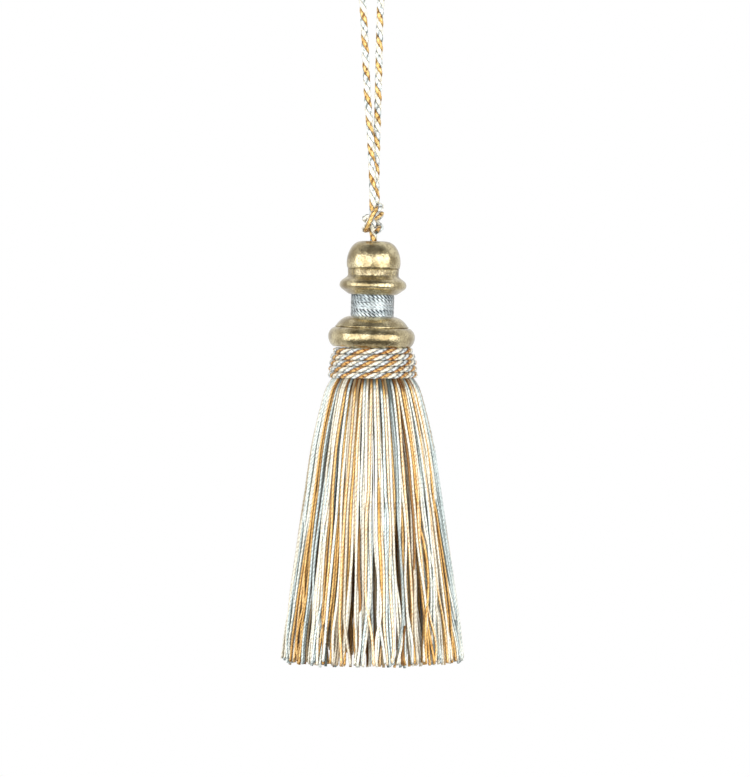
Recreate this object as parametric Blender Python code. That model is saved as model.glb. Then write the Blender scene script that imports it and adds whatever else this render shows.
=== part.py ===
"""A key tassel, as it hangs: a gilt turned wooden head with a yarn-wound neck, a collar of twisted cord,
a cut yarn skirt, and a hanging loop of the same cord, tied off in a small knot above the head.

Lengths are in metres, +Z is up and +Y is to the back. The origin is where the loop bears on its hook.
"""

import math
import random

import bmesh
import bpy
from mathutils import Vector

MM = 0.001

# The cord is three yarns laid up left-handed, so its plies lean like the middle of an S.
CORD_DIAMETER = 2.5 * MM
CORD_PITCH = 8.7 * MM
CORD_PLIES = 3
CORD_VALLEY = 0.74  # radius between two plies, as a share of the cord's own
CORD_STEPS_PER_PITCH = 7
CLEARANCE = 0.3 * MM

# Heights of the head, from the point where the loop is held.
HEAD_TOP = -101.2 * MM
HEAD_HEIGHT = 34.9 * MM  # from the crown to the flat base that sits on the collar
HEAD_BASE = HEAD_TOP - HEAD_HEIGHT
HEAD_LEAN_DEG = 1.6  # the head hangs slightly out of plumb, to the right
HEAD_OFFSET = -0.4 * MM  # of its axis at the collar
BORE_RADIUS = 1.75 * MM
BORE_DEPTH = 8.0 * MM
SPIGOT_RADIUS = 6.5 * MM
SPIGOT_LENGTH = 7.0 * MM

# The collar and skirt hang plumb, under the leaning head.
SKIRT_TOP = HEAD_BASE - 0.4 * MM
SKIRT_OFFSET = 0.1 * MM
CUP_PLAY = 0.9 * MM  # between the head's spigot and the heading's cup, as the head leans in it

HEAD_SEGMENTS = 36

# The crown is flat in its middle and rounds over to its belly. Depths are below the crown.
CROWN_FLAT = 3.6 * MM
CROWN_RADIUS = 8.9 * MM
CROWN_BELLY = 6.3 * MM
NECK_RADIUS = 5.95 * MM
NECK_TOP = 17.6 * MM
NECK_BOTTOM = 24.85 * MM
BEAD_RADIUS = 14.3 * MM
BEAD_CORE = 11.4 * MM  # radius at which the bead's section has its middle
BEAD_DEPTH = 31.5 * MM
BEAD_RISE = 3.1 * MM
BEAD_DROP = 3.9 * MM
BASE_RADIUS = 12.4 * MM
CREASE_AND_RIM = (  # millimetres out from the axis and down from the crown, to the top of the neck
    {"out": 8.62, "down": 8.6},
    {"out": 8.38, "down": 9.1},
    {"out": 8.56, "down": 9.3},
    {"out": 8.1, "down": 10.75},
    {"out": 8.9, "down": 11.6},
    {"out": 10.4, "down": 13.2},
    {"out": 11.0, "down": 14.2},
    {"out": 10.85, "down": 14.9},
    {"out": 8.95, "down": 16.8},
    {"out": 7.75, "down": 17.6},
)
SHOULDER_AND_FILLET = (  # the same, from the foot of the neck to the top of the bead
    {"out": 7.75, "down": 24.85},
    {"out": 10.6, "down": 26.5},
    {"out": 11.85, "down": 27.8},
    {"out": 11.98, "down": 28.3},
    {"out": 11.85, "down": 28.5},
)

# The winding on the neck.
NECK_TURNS = 6
NECK_YARN = 1.1 * MM
WRAP_SEGMENTS = 28

# The collar: the cord wound round the top of the skirt, in level turns that step down at the back.
COLLAR_CORD = 1.85 * MM
COLLAR_TURNS = 4.84
COLLAR_LEVEL_SHARE = 0.86  # of a turn, before it steps down
COLLAR_RISE = 1.98 * MM
COLLAR_ROW_RADII = (12.25 * MM, 13.1 * MM, 13.5 * MM, 13.75 * MM, 13.95 * MM)  # of the cord's own centreline

# The skirt hangs from a narrow heading inside the collar, which flares under it.
HEADING_TOP_RADIUS = 10.9 * MM
HEADING_HEM_RADIUS = 12.3 * MM
HEADING_NECK_RADIUS = 13.6 * MM
HEADING_LIP_RADIUS = 15.3 * MM
HEADING_LIP = 1.5 * MM
HEADING_SEGMENTS = 44
SKIRT_HEM = -239.8 * MM
SKIRT_FLARE = 2.1 * MM
SKIRT_FLARE_DEPTH = 4.0 * MM  # over which the strands turn out from under the collar
SKIRT_SLOPE = 0.142
STRAND_LEVELS = (0.0, 0.035, 0.12, 0.5, 1.0)  # shares of an outer strand's depth
INNER_LEVELS = (0.0, 0.06, 0.5, 1.0)
HEM_UNEVEN = 1.1 * MM

# Rings of strands: how many, their radii at the root and the hem, and their width and thickness there.
STRAND_RINGS = (
    {"count": 60, "start_deg": 0.0, "root": 14.5 * MM, "hem": 29.7 * MM, "wide": 2.0 * MM, "thick": 1.2 * MM},
    {"count": 47, "start_deg": 2.0, "root": 12.6 * MM, "hem": 26.8 * MM, "wide": 2.0 * MM, "thick": 1.2 * MM},
    {"count": 37, "start_deg": 5.0, "root": 10.6 * MM, "hem": 23.4 * MM, "wide": 2.1 * MM, "thick": 1.3 * MM},
    {"count": 25, "start_deg": 9.0, "root": 8.2 * MM, "hem": 18.8 * MM, "wide": 2.2 * MM, "thick": 1.4 * MM},
    {"count": 13, "start_deg": 14.0, "root": 5.2 * MM, "hem": 12.2 * MM, "wide": 2.3 * MM, "thick": 1.4 * MM},
)
ROOT_WIDE_SHARE = 0.74  # of the room that a strand has at its root
ROOT_WIDE_MOST = 1.25 * MM
ROOT_THICK = 1.0 * MM
YARN_ORDER = ("ochre", "ivory", "blue", "ivory", "ochre", "blue", "ivory")

# The hanging loop: the standing leg runs up from the head's bore, over the top and back down to the knot.
LOOP_BEND_RADIUS = 5.0 * MM
LOOP_BEND_STEPS = 6
CURVE_STEPS = 24  # between two points of a route, when it is smoothed
LOOP_MIDDLE = -0.2 * MM
LOOP_TOP = CORD_DIAMETER / 2  # of the centreline, above the point where the loop is held
STANDING_LEG = (  # across and up, from the bore to the top bend
    {"across": 0.4, "up": -107.6},
    {"across": 0.5, "up": -103.5},
    {"across": 0.45, "up": -101.0},
    {"across": 0.15, "up": -98.5},
    {"across": 0.1, "up": -95.0},
    {"across": 0.1, "up": -91.0},
    {"across": 0.1, "up": -86.0},
    {"across": 0.0, "up": -81.0},
    {"across": -0.6, "up": -68.0},
    {"across": -1.6, "up": -54.0},
    {"across": -2.3, "up": -39.5},
    {"across": -3.05, "up": -25.0},
    {"across": -4.15, "up": -13.0},
)
FALLING_LEG = (  # across, back and up, from the top bend to the knot
    {"across": 3.75, "back": 0.05, "up": -13.0},
    {"across": 2.6, "back": 0.2, "up": -25.0},
    {"across": 2.2, "back": 0.55, "up": -39.5},
    {"across": 1.85, "back": 1.25, "up": -54.0},
    {"across": 1.5, "back": 2.15, "up": -66.0},
    {"across": 1.2, "back": 2.55, "up": -76.0},
    {"across": 1.15, "back": 2.65, "up": -83.0},
    {"across": 1.25, "back": 2.6, "up": -87.6},
)

# The knot: the falling leg's end crosses to the front, runs down over its own turns and rises behind them.
# Then it winds down round the standing leg, under that first crossing, to its cut tail.
KNOT_CORD = 2.0 * MM
KNOT_STEP = 0.9 * MM
KNOT_ROUTE = (
    {"across": 1.45, "back": 2.5, "up": -88.7},
    {"across": 2.15, "back": 1.85, "up": -89.5},
    {"across": 2.7, "back": 0.45, "up": -89.9},
    {"across": 2.4, "back": -1.4, "up": -90.3},
    {"across": 1.3, "back": -3.25, "up": -91.15},
    {"across": 0.15, "back": -4.65, "up": -92.65},
    {"across": -0.85, "back": -4.2, "up": -94.65},
    {"across": -1.7, "back": -2.65, "up": -96.25},
    {"across": -2.45, "back": -0.65, "up": -97.25},
    {"across": -2.1, "back": 1.55, "up": -97.45},
    {"across": -0.8, "back": 3.55, "up": -96.85},
    {"across": 0.6, "back": 4.7, "up": -95.3},
    {"across": 1.8, "back": 3.7, "up": -93.6},
    {"across": 2.55, "back": 1.95, "up": -92.65},
    {"across": 2.8, "back": 0.2, "up": -92.35},
    {"across": 2.3, "back": -1.4, "up": -92.6},
    {"across": 1.0, "back": -2.45, "up": -93.2},
    {"across": -0.85, "back": -2.4, "up": -93.25},
    {"across": -2.2, "back": -1.2, "up": -93.6},
    {"across": -2.4, "back": 0.75, "up": -94.1},
    {"across": -1.1, "back": 2.35, "up": -94.65},
    {"across": 1.0, "back": 2.4, "up": -95.3},
    {"across": 2.45, "back": 1.15, "up": -96.2},
    {"across": 2.65, "back": -0.75, "up": -96.95},
    {"across": 1.9, "back": -2.55, "up": -97.55},
    {"across": 1.1, "back": -4.2, "up": -98.1},
)


def start_empty():
    for thing in list(bpy.data.objects):
        bpy.data.objects.remove(thing, do_unlink=True)


def finish_of(name, colour, roughness, metallic=0.0):
    """A Principled material of one colour."""
    material = bpy.data.materials.new(name)
    material.use_nodes = True
    shader = material.node_tree.nodes["Principled BSDF"]
    shader.inputs["Base Color"].default_value = (*colour, 1.0)
    shader.inputs["Roughness"].default_value = roughness
    shader.inputs["Metallic"].default_value = metallic
    material.diffuse_color = (*colour, 1.0)
    return material


def add(name, data, materials=(), parent=None):
    """A new object that holds this mesh, or an empty."""
    thing = bpy.data.objects.new(name, data)
    bpy.context.scene.collection.objects.link(thing)
    for material in materials:
        data.materials.append(material)
    if parent is not None:
        thing.parent = parent
    return thing


def as_guide(thing):
    """Keeps an object out of the model: it only shapes others."""
    thing.hide_render = True
    thing.display_type = "WIRE"
    return thing


def arc(middle, reach, start_deg, end_deg, steps):
    """Points of an elliptical arc in (radius, depth); 0 degrees points out and 90 points up."""
    points = []
    for step in range(steps + 1):
        angle = math.radians(start_deg + (end_deg - start_deg) * step / steps)
        points.append((middle[0] + reach[0] * math.cos(angle), middle[1] - reach[1] * math.sin(angle)))
    return points


def turned(name, outline, segments, materials, parent):
    """A turned solid. The outline is (radius, depth) points, top to bottom down the outer side."""
    mesh = bpy.data.meshes.new(name)
    points = [(radius, 0.0, -depth) for radius, depth in outline]
    mesh.from_pydata(points, [(i, i + 1) for i in range(len(points) - 1)], [])
    thing = add(name, mesh, materials, parent)
    lathe = thing.modifiers.new("lathe", "SCREW")
    lathe.axis = "Z"
    lathe.angle = math.tau
    lathe.screw_offset = 0.0
    lathe.steps = segments
    lathe.render_steps = segments
    lathe.use_merge_vertices = True
    lathe.merge_threshold = 0.00001
    lathe.use_smooth_shade = True
    return thing


# ---------------------------------------------------------------- head and neck


def points_of(table):
    """A table's rows as (radius, depth) points."""
    return [(row["out"] * MM, row["down"] * MM) for row in table]


def head_outline():
    """From the bore's floor and mouth over the crown, the rim and the bead to the base and its spigot."""
    bore = [(0.0, BORE_DEPTH), (BORE_RADIUS, BORE_DEPTH), (BORE_RADIUS, 0.0)]
    crown = arc((CROWN_FLAT, CROWN_BELLY), (CROWN_RADIUS - CROWN_FLAT, CROWN_BELLY), 90, 0, 5)
    neck = [(NECK_RADIUS, NECK_TOP), (NECK_RADIUS, NECK_BOTTOM)]
    core = (BEAD_CORE, BEAD_DEPTH)
    reach = BEAD_RADIUS - BEAD_CORE
    bead = arc(core, (reach, BEAD_RISE), 66, 0, 3) + arc(core, (reach, BEAD_DROP), -34, -67, 1)
    foot = HEAD_HEIGHT + SPIGOT_LENGTH
    base = [(BASE_RADIUS, HEAD_HEIGHT), (SPIGOT_RADIUS, HEAD_HEIGHT), (SPIGOT_RADIUS, foot), (0.0, foot)]
    upper = bore + crown + points_of(CREASE_AND_RIM) + neck
    return upper + points_of(SHOULDER_AND_FILLET) + bead + base


def make_head(axis, gilt):
    head = turned("head", head_outline(), HEAD_SEGMENTS, [gilt], axis)
    head.location.z = HEAD_HEIGHT
    return head


def make_neck_wrap(axis, yarn):
    """The winding as a sleeve with a rounded rib for each turn."""
    inner = NECK_RADIUS + CLEARANCE
    top = (NECK_TOP + NECK_BOTTOM - NECK_TURNS * NECK_YARN) / 2
    outline = [(inner, top + NECK_YARN * 0.1)]
    for turn in range(NECK_TURNS):
        middle = (inner + NECK_YARN / 2, top + (turn + 0.5) * NECK_YARN)
        outline += arc(middle, (NECK_YARN / 2, NECK_YARN / 2), 62, -62, 2)
    outline += [(inner, top + NECK_YARN * (NECK_TURNS - 0.1)), outline[0]]
    wrap = turned("neck_wrap", outline, WRAP_SEGMENTS, [yarn], axis)
    wrap.location.z = HEAD_HEIGHT
    return wrap


# ---------------------------------------------------------------- cord


def closed_mesh(name, points, faces, shades=()):
    """A mesh of these faces, all turned outwards, with each face's material number if there are any."""
    mesh = bpy.data.meshes.new(name)
    mesh.from_pydata(points, [], faces)
    if shades:
        mesh.polygons.foreach_set("material_index", shades)
    scratch = bmesh.new()
    scratch.from_mesh(mesh)
    bmesh.ops.recalc_face_normals(scratch, faces=scratch.faces)
    scratch.to_mesh(mesh)
    scratch.free()
    return mesh


def tube_faces(first, rings, corners):
    """The faces of a closed tube of rings whose points start at this number, with flat ends."""
    last = first + corners * (rings - 1)
    faces = [tuple(range(first, first + corners)), tuple(range(last, last + corners))]
    for ring in range(rings - 1):
        a = first + corners * ring
        for corner in range(corners):
            after = (corner + 1) % corners
            faces.append((a + corner, a + after, a + corners + after, a + corners + corner))
    return faces


def along(points):
    """The length along a line, at each of its points."""
    lengths = [0.0]
    for before, after in zip(points, points[1:]):
        lengths.append(lengths[-1] + (after - before).length)
    return lengths


def smooth_line(route, step):
    """Points a step apart on the smooth curve through a route's own points (Catmull-Rom)."""
    ends = [route[0] * 2 - route[1], *route, route[-1] * 2 - route[-2]]
    fine = []
    for a, b, c, d in zip(ends, ends[1:], ends[2:], ends[3:]):
        for piece in range(CURVE_STEPS):
            t = piece / CURVE_STEPS
            bend = b * 2 + (c - a) * t + (a * 2 - b * 5 + c * 4 - d) * t * t + (b * 3 - a - c * 3 + d) * t**3
            fine.append(bend / 2)
    fine.append(route[-1])
    lengths = along(fine)
    count = max(2, round(lengths[-1] / step))
    spaced = []
    index = 0
    for place in range(count + 1):
        wanted = lengths[-1] * place / count
        while index < len(lengths) - 2 and lengths[index + 1] < wanted:
            index += 1
        share = (wanted - lengths[index]) / (lengths[index + 1] - lengths[index])
        spaced.append(fine[index].lerp(fine[index + 1], min(share, 1.0)))
    return spaced


def lay_cord(name, points, diameter, material, parent=None):
    """The cord along these points, with one rounded corner for each ply, laid up left-handed."""
    corners = 2 * CORD_PLIES
    side = Vector((0.0, 1.0, 0.0))
    placed = []
    for index, length in enumerate(along(points)):
        before, after = points[max(index - 1, 0)], points[min(index + 1, len(points) - 1)]
        ahead = (after - before).normalized()
        side = (side - ahead * side.dot(ahead)).normalized()
        across = ahead.cross(side)
        for corner in range(corners):
            radius = diameter / 2 * (CORD_VALLEY if corner % 2 else 1.0)
            angle = math.tau * (corner / corners - length / CORD_PITCH)
            placed.append(points[index] + (side * math.cos(angle) + across * math.sin(angle)) * radius)
    mesh = closed_mesh(name, placed, tube_faces(0, len(points), corners))
    mesh.polygons.foreach_set("use_smooth", [True] * len(mesh.polygons))
    return add(name, mesh, [material], parent)


def loop_route():
    """The route of the hanging cord, from inside the head's bore to where the knot takes over."""
    route = [Vector((row["across"] * MM, 0.0, row["up"] * MM)) for row in STANDING_LEG]
    for step in range(LOOP_BEND_STEPS + 1):
        angle = math.pi * (1 - step / LOOP_BEND_STEPS)
        across = LOOP_MIDDLE + LOOP_BEND_RADIUS * math.cos(angle)
        up = LOOP_TOP - LOOP_BEND_RADIUS * (1 - math.sin(angle))
        route.append(Vector((across, 0.0, up)))
    route += [Vector((row["across"] * MM, row["back"] * MM, row["up"] * MM)) for row in FALLING_LEG]
    return route


def knot_route():
    """The knot's route, from just under the falling leg's end."""
    last = FALLING_LEG[-1]
    start = Vector((last["across"] * MM, last["back"] * MM, last["up"] * MM - CLEARANCE))
    return [start] + [Vector((row["across"], row["back"], row["up"])) * MM for row in KNOT_ROUTE]


def make_hanging_cord(yarn):
    points = smooth_line(loop_route(), CORD_PITCH / CORD_STEPS_PER_PITCH)
    return lay_cord("hanging_cord", points, CORD_DIAMETER, yarn)


def make_knot(yarn):
    return lay_cord("knot", smooth_line(knot_route(), KNOT_STEP), KNOT_CORD, yarn)


def eased(share):
    """From 0 to 1 with a level start and finish."""
    share = min(max(share, 0.0), 1.0)
    return share * share * (3 - 2 * share)


def collar_route():
    """Level turns that step down one at a time and widen towards the skirt, in the skirt's own frame."""
    top = -CLEARANCE - COLLAR_CORD / 2
    middle_radius = sum(COLLAR_ROW_RADII) / len(COLLAR_ROW_RADII)
    steps = round(math.tau * COLLAR_TURNS * middle_radius / CORD_PITCH * CORD_STEPS_PER_PITCH)
    route = []
    for step in range(steps + 1):
        turn = COLLAR_TURNS * step / steps
        row = int(turn)
        share = eased((turn % 1 - COLLAR_LEVEL_SHARE) / (1 - COLLAR_LEVEL_SHARE))
        angle = math.pi / 2 + math.tau * turn
        here, below = COLLAR_ROW_RADII[row], COLLAR_ROW_RADII[min(row + 1, len(COLLAR_ROW_RADII) - 1)]
        radius = here + (below - here) * share
        up = top - COLLAR_RISE * (row + share)
        route.append(Vector((radius * math.cos(angle), radius * math.sin(angle), up)))
    return route


def make_collar(axis, yarn):
    return lay_cord("collar", collar_route(), COLLAR_CORD, yarn, axis)


# ---------------------------------------------------------------- skirt


def heading_depths():
    """Depths below the skirt's top of the heading's top, of its lip and of its underside."""
    top = CLEARANCE
    lip = CLEARANCE + COLLAR_CORD + COLLAR_RISE * (len(COLLAR_ROW_RADII) - 1) + CLEARANCE
    return top, lip, lip + HEADING_LIP


def skirt_spread(depth):
    """How far out the outer strands are at a depth below the heading: a quick flare, then a slow one."""
    return SKIRT_FLARE * (1 - math.exp(-depth / SKIRT_FLARE_DEPTH)) + SKIRT_SLOPE * depth


def strand_corners(ring, levels, number, rng, top, length):
    """One strand as four corners at each of its levels, hanging from the heading's underside."""
    room = math.tau / ring["count"]
    home = math.radians(ring["start_deg"]) + room * (number + rng.uniform(-0.06, 0.06))
    drift = room * rng.uniform(-0.13, 0.13)
    swell = rng.uniform(-0.3, 0.3) * MM
    cut = length + rng.uniform(-1.0, 1.0) * HEM_UNEVEN
    root_wide = min(room * ring["root"] * ROOT_WIDE_SHARE, ROOT_WIDE_MOST)
    corners = []
    for level in levels:
        depth = level * cut
        radius = ring["root"] + (ring["hem"] - ring["root"]) * skirt_spread(depth) / skirt_spread(length)
        radius += swell * level
        angle = home + drift * math.sin(level * math.pi * 0.75)
        wide = root_wide + (ring["wide"] - root_wide) * level
        thick = ROOT_THICK + (ring["thick"] - ROOT_THICK) * level
        up = top - depth if level else top + HEADING_LIP / 2
        outward = Vector((math.cos(angle), math.sin(angle), 0.0))
        sideways = Vector((-math.sin(angle), math.cos(angle), 0.0))
        middle = outward * radius + Vector((0.0, 0.0, up))
        for out, side in ((1, 1), (-1, 1), (-1, -1), (1, -1)):
            corners.append(middle + outward * (out * thick / 2) + sideways * (side * wide / 2))
    return corners


def make_strands(axis, colours):
    """Every strand of the skirt as one closed prism each, in one mesh."""
    rng = random.Random(7)
    top = -heading_depths()[2]
    length = SKIRT_TOP + top - SKIRT_HEM
    points, faces, shades = [], [], []
    for ring in STRAND_RINGS:
        levels = STRAND_LEVELS if ring is STRAND_RINGS[0] else INNER_LEVELS
        for number in range(ring["count"]):
            first = len(points)
            points += strand_corners(ring, levels, number, rng, top, length)
            shade = sorted(colours).index(YARN_ORDER[number % len(YARN_ORDER)])
            made = tube_faces(first, len(levels), 4)
            faces += made
            shades += [shade] * len(made)
    mesh = closed_mesh("strands", points, faces, shades)
    return as_guide(add("strands", mesh, [colours[name] for name in sorted(colours)], axis))


def make_skirt(axis, colours):
    """The heading, cupped over the head's spigot, with the strands joined to its underside."""
    top, lip, foot = heading_depths()
    cup = SPIGOT_RADIUS + CUP_PLAY
    cup_floor = SPIGOT_LENGTH + CLEARANCE
    outline = [
        (0.0, cup_floor),
        (cup, cup_floor),
        (cup, top),
        (HEADING_TOP_RADIUS, top),
        (HEADING_HEM_RADIUS, lip),
        (HEADING_NECK_RADIUS, lip),
        (HEADING_LIP_RADIUS, foot),
        (0.0, foot),
    ]
    skirt = turned("skirt", outline, HEADING_SEGMENTS, [colours[name] for name in sorted(colours)], axis)
    join = skirt.modifiers.new("strands", "BOOLEAN")
    join.operation = "UNION"
    join.solver = "EXACT"
    join.object = make_strands(axis, colours)
    return skirt


def main():
    start_empty()
    gilt = finish_of("antique_gilt", (0.42, 0.33, 0.17), 0.38, 0.85)
    colours = {
        "ochre": finish_of("ochre_yarn", (0.78, 0.44, 0.1), 0.5),
        "ivory": finish_of("ivory_yarn", (0.88, 0.86, 0.78), 0.5),
        "blue": finish_of("pale_blue_yarn", (0.62, 0.71, 0.74), 0.5),
    }
    head_axis = add("head_axis", None)
    head_axis.location = (HEAD_OFFSET, 0.0, HEAD_BASE)
    head_axis.rotation_euler.y = math.radians(HEAD_LEAN_DEG)
    skirt_axis = add("skirt_axis", None)
    skirt_axis.location = (SKIRT_OFFSET, 0.0, SKIRT_TOP)
    make_head(head_axis, gilt)
    make_neck_wrap(head_axis, colours["blue"])
    make_collar(skirt_axis, colours["ochre"])
    make_skirt(skirt_axis, colours)
    make_hanging_cord(colours["ivory"])
    make_knot(colours["ivory"])
    bpy.context.view_layer.update()


main()
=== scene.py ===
"""Looks of a hanging key tassel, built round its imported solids.

Lengths are in metres, +Z is up and +Y is to the back. The origin is where the cord loop bears on its hook.
Every new piece is a surface worked out with numpy: a profile turned round an axis, or a yarn's section
carried along a path.
"""

import math

import bpy
import numpy as np
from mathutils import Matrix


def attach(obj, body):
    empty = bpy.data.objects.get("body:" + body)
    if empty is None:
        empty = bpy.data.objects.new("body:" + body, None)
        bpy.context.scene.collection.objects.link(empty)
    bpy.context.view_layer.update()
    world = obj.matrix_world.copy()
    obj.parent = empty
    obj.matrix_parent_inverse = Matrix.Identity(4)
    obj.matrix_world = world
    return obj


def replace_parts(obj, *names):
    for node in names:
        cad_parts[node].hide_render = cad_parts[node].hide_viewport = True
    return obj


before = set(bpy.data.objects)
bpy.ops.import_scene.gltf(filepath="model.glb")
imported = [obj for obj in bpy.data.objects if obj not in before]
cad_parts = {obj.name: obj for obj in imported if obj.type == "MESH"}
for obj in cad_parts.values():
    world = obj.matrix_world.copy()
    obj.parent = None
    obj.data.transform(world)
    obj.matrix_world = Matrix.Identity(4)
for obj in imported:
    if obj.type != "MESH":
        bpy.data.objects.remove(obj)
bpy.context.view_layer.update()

MM = 0.001
TAU = math.tau

# ---------------------------------------- sizes

YARN_DIAMETER = 0.93 * MM
YARN_LAY = 3.1 * MM  # one turn of a skirt yarn's two plies, right-handed
CORD_YARN_LAY = 3.4 * MM  # the same in the hanging cord, whose own lay opens it
COLLAR_YARN_LAY = 2.4 * MM  # and in the collar's cord
CREVICE_SHADE_WIDTH = 13.0  # degrees round a yarn over which the painted shade in the crevice at its side deepens
CORD_DIAMETER = 2.5 * MM
PLY_RADIUS_SHARE = 0.345  # a yarn's radius as a share of its cord's diameter: pressed against its neighbours
PLY_OFFSET_SHARE = 0.155  # how far the yarn's middle is from the cord's, as the same share

HEAD_TOP = -101.2 * MM
HEAD_HEIGHT = 34.9 * MM
HEAD_BASE = HEAD_TOP - HEAD_HEIGHT
HEAD_LEAN = math.radians(1.6)
HEAD_OFFSET = -0.4 * MM

SKIRT_TOP = HEAD_BASE - 0.4 * MM
SKIRT_OFFSET = 0.1 * MM

# The hanging cord's route, in millimetres. The standing leg is in the plane y = 0, so its points are across
# and up; the falling leg's and the knot's are across, back and up.
STANDING_LEG = (
    (0.4, -107.6),
    (0.5, -103.5),
    (0.45, -101.0),
    (0.15, -98.5),
    (0.1, -95.0),
    (0.1, -91.0),
    (0.1, -86.0),
    (0.0, -81.0),
    (-0.6, -68.0),
    (-1.6, -54.0),
    (-2.3, -39.5),
    (-3.05, -25.0),
    (-4.15, -13.0),
)
FALLING_LEG = (
    (3.75, 0.05, -13.0),
    (2.6, 0.2, -25.0),
    (2.2, 0.55, -39.5),
    (1.85, 1.25, -54.0),
    (1.5, 2.15, -66.0),
    (1.2, 2.55, -76.0),
    (1.15, 2.65, -83.0),
    (1.25, 2.6, -87.6),
)
LOOP_BEND_RADIUS = 5.0
LOOP_MIDDLE = -0.2
LOOP_TOP = CORD_DIAMETER / MM / 2
LOOP_BEND_STEPS = 6

# The knot, on from the falling leg: over its own turns at the front, up behind them, then round the
# standing leg.
KNOT_CORD = 2.25 * MM
KNOT_ROUTE = (
    (1.45, 2.5, -88.7),
    (2.15, 1.85, -89.5),
    (2.7, 0.45, -89.9),
    (2.4, -1.4, -90.3),
    (1.3, -3.1, -91.15),
    (0.15, -4.4, -92.65),
    (-0.85, -4.0, -94.65),
    (-1.7, -2.55, -96.25),
    (-2.45, -0.65, -97.25),
    (-2.1, 1.55, -97.45),
    (-0.8, 3.55, -96.85),
    (0.6, 4.7, -95.3),
    (1.8, 3.7, -93.6),
    (2.55, 1.95, -92.65),
    (2.8, 0.2, -92.35),
    (2.3, -1.4, -92.6),
    (1.0, -2.45, -93.2),
    (-0.85, -2.4, -93.25),
    (-2.2, -1.2, -93.6),
    (-2.4, 0.75, -94.1),
    (-1.1, 2.35, -94.65),
    (1.0, 2.4, -95.3),
    (2.45, 1.15, -96.2),
    (2.65, -0.75, -96.95),
    (1.9, -2.55, -97.55),
    (1.1, -4.0, -98.1),
)

# ---------------------------------------- surfaces


def grid_faces(rings, around):
    """Quads between each ring and the next, round and round, as one array."""
    ring, corner = np.meshgrid(np.arange(rings - 1), np.arange(around), indexing="ij")
    after = (corner + 1) % around
    low, high = ring * around, (ring + 1) * around
    return np.stack([low + corner, low + after, high + after, high + corner], -1).reshape(-1, 4)


def unit(vectors):
    """Each vector divided by its own length."""
    return vectors / np.linalg.norm(vectors, axis=-1, keepdims=True)


def headings(path):
    """The unit direction of a path at each of its points: the difference of its neighbours."""
    return unit(np.gradient(path, axis=-2))


def square_to(directions, wanted):
    """The wanted directions with their part along each path direction taken off, at unit length."""
    return unit(wanted - directions * np.sum(wanted * directions, -1, keepdims=True))


def run_along(path):
    """The length along a path, or along each of many, at each of its points."""
    steps = np.linalg.norm(np.diff(path, axis=-2), axis=-1)
    return np.concatenate([np.zeros(path.shape[:-2] + (1,)), np.cumsum(steps, -1)], -1)


def evenly(path, spacing):
    """The same path with points a spacing apart: each coordinate as a straight-line function of length."""
    length = run_along(path)
    places = np.linspace(0, length[-1], max(3, round(length[-1] / spacing) + 1))
    return np.stack([np.interp(places, length, path[:, axis]) for axis in range(3)], -1)


def through(points, steps=24):
    """The smooth curve through some points: between two of them, the Catmull-Rom cubic of them and their
    neighbours."""
    points = np.asarray(points, float)
    ends = np.concatenate([2 * points[:1] - points[1:2], points, 2 * points[-1:] - points[-2:-1]])
    a, b, c, d = (ends[i : len(ends) - 3 + i, None] for i in range(4))
    t = np.arange(steps)[None, :, None] / steps
    curve = 2 * b + (c - a) * t + (2 * a - 5 * b + 4 * c - d) * t**2 + (3 * b - a - 3 * c + d) * t**3
    return np.concatenate([curve.reshape(-1, points.shape[1]) / 2, points[-1:]])


def eased(share):
    """0 to 1 with a level start and finish: 3 t^2 - 2 t^3."""
    share = np.clip(share, 0, 1)
    return share * share * (3 - 2 * share)


def add_object(name, data):
    """A new object with this data, in the scene."""
    made = bpy.data.objects.new(name, data)
    bpy.context.scene.collection.objects.link(made)
    return made


def add_piece(name, mesh):
    """A finished mesh as a piece that rides on the tassel."""
    piece = add_object(name, mesh)
    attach(piece, "root")
    return piece


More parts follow.
